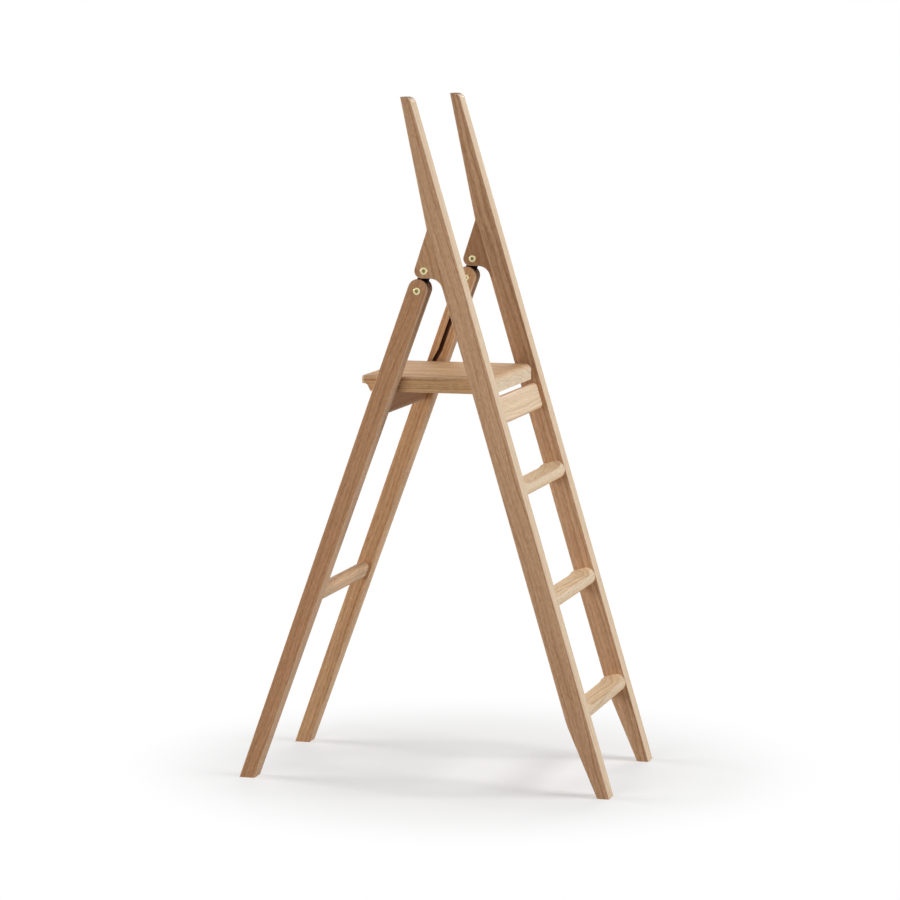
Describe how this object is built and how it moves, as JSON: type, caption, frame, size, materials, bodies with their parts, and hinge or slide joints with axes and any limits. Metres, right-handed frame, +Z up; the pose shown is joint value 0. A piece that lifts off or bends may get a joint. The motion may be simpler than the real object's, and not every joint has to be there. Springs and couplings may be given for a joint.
{
  "type": "folding step ladder",
  "caption": "Folding wooden step ladder: leaning stiles that end as handles, round-nosed steps, a lifting platform and hinged rear legs.",
  "frame": {"origin": "on the floor, midway between the front and rear feet and midway between the sides", "axes": "+X to the climber's right, +Y from the steps to the rear legs, +Z up"},
  "size_m": [0.4704, 0.8958, 1.6],
  "materials": {
    "stile_wood": "clear satin oil over straight grain",
    "knuckle_wood": "clear satin oil over straight grain",
    "leg_wood": "clear satin oil over straight grain",
    "step_wood": "clear satin oil over straight grain",
    "board_wood": "clear satin oil over straight grain",
    "platform_wood": "clear satin oil over straight grain",
    "brass": "polished",
    "black_plate": "matt black",
    "steel": "drawn"
  },
  "bodies": {
    "front_frame": {"left_stile": "stile_wood", "left_knuckle": "knuckle_wood", "left_hinge_sleeve_nut": "brass", "left_hinge_screw": "brass", "left_pivot_pin": "steel", "right_stile": "stile_wood", "right_knuckle": "knuckle_wood", "right_hinge_sleeve_nut": "brass", "right_hinge_screw": "brass", "right_pivot_pin": "steel", "lower_step": "step_wood", "middle_step": "step_wood", "upper_step": "step_wood", "front_apron": "board_wood"},
    "rear_frame": {"left_leg": "leg_wood", "left_link_plate": "black_plate", "left_leg_sleeve_nut": "brass", "left_leg_screw": "brass", "right_leg": "leg_wood", "right_link_plate": "black_plate", "right_leg_sleeve_nut": "brass", "right_leg_screw": "brass", "rear_rail": "board_wood", "rear_stretcher": "board_wood"},
    "platform_board": {"left_pivot_bush": "brass", "left_guide_socket": "brass", "right_pivot_bush": "brass", "right_guide_socket": "brass", "platform": "platform_wood"},
    "guide_pins": {"left_guide_pin": "steel", "right_guide_pin": "steel"}
  },
  "joints": [
    {"name": "rear_fold", "type": "hinge", "parent": "front_frame", "child": "rear_frame", "pos_m": [0, -0.00657, 1.20462], "axis": [-1, 0, 0], "range_deg": [0, 36.4]},
    {"name": "platform_lift", "type": "hinge", "parent": "front_frame", "child": "platform_board", "pos_m": [0, -0.13716, 0.9382], "axis": [1, 0, 0], "range_deg": [0, 60.4]},
    {"name": "guide_slide", "type": "slide", "parent": "rear_frame", "child": "guide_pins", "axis": [0, -0.3401, 0.9404], "range_m": [0, 0.2153]}
  ],
  "couplings": [
    {"joint": "platform_lift", "follows": "rear_fold", "ratio": 1.6588},
    {"joint": "guide_slide", "follows": "rear_fold", "m_per_rad": 0.33875}
  ]
}
